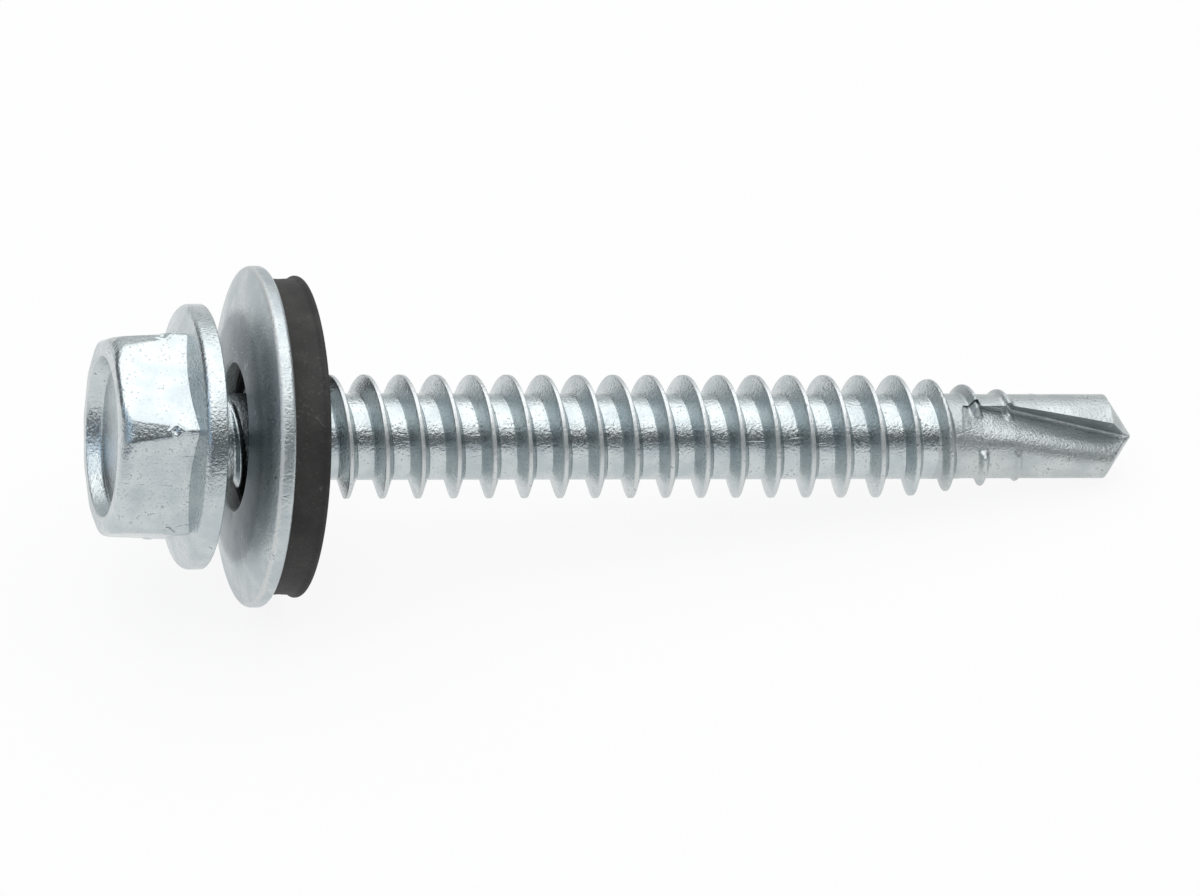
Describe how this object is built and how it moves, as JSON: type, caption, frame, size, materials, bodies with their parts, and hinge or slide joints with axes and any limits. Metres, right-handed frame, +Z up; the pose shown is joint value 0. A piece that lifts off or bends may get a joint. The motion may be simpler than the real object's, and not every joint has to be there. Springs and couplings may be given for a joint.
{
  "type": "self drilling screw",
  "caption": "Self drilling roofing screw with an indented hexagon washer head, a coarse thread, a fluted drill point and a captive steel and rubber sealing washer.",
  "frame": {"origin": "on the floor that the screw lies on, below the middle of its overall box", "axes": "+X from the head to the drill point, the screw's own axis leaning down to the tip by 8.3 degrees in the XZ plane as it lies at rest, +Z up"},
  "size_m": [0.0526, 0.0168, 0.0166],
  "materials": {
    "screw_steel": "bright zinc plated carbon steel",
    "washer_steel": "galvanised sheet steel, dull",
    "seal_rubber": "matt black EPDM rubber"
  },
  "bodies": {
    "screw": {"screw": "screw_steel"},
    "washer": {"steel_washer": "washer_steel", "seal": "seal_rubber"}
  },
  "joints": [
    {"name": "washer_slide", "type": "slide", "parent": "screw", "child": "washer", "axis": [0.9896, 0, -0.1436], "range_m": [-0.0015, 0.03]}
  ]
}
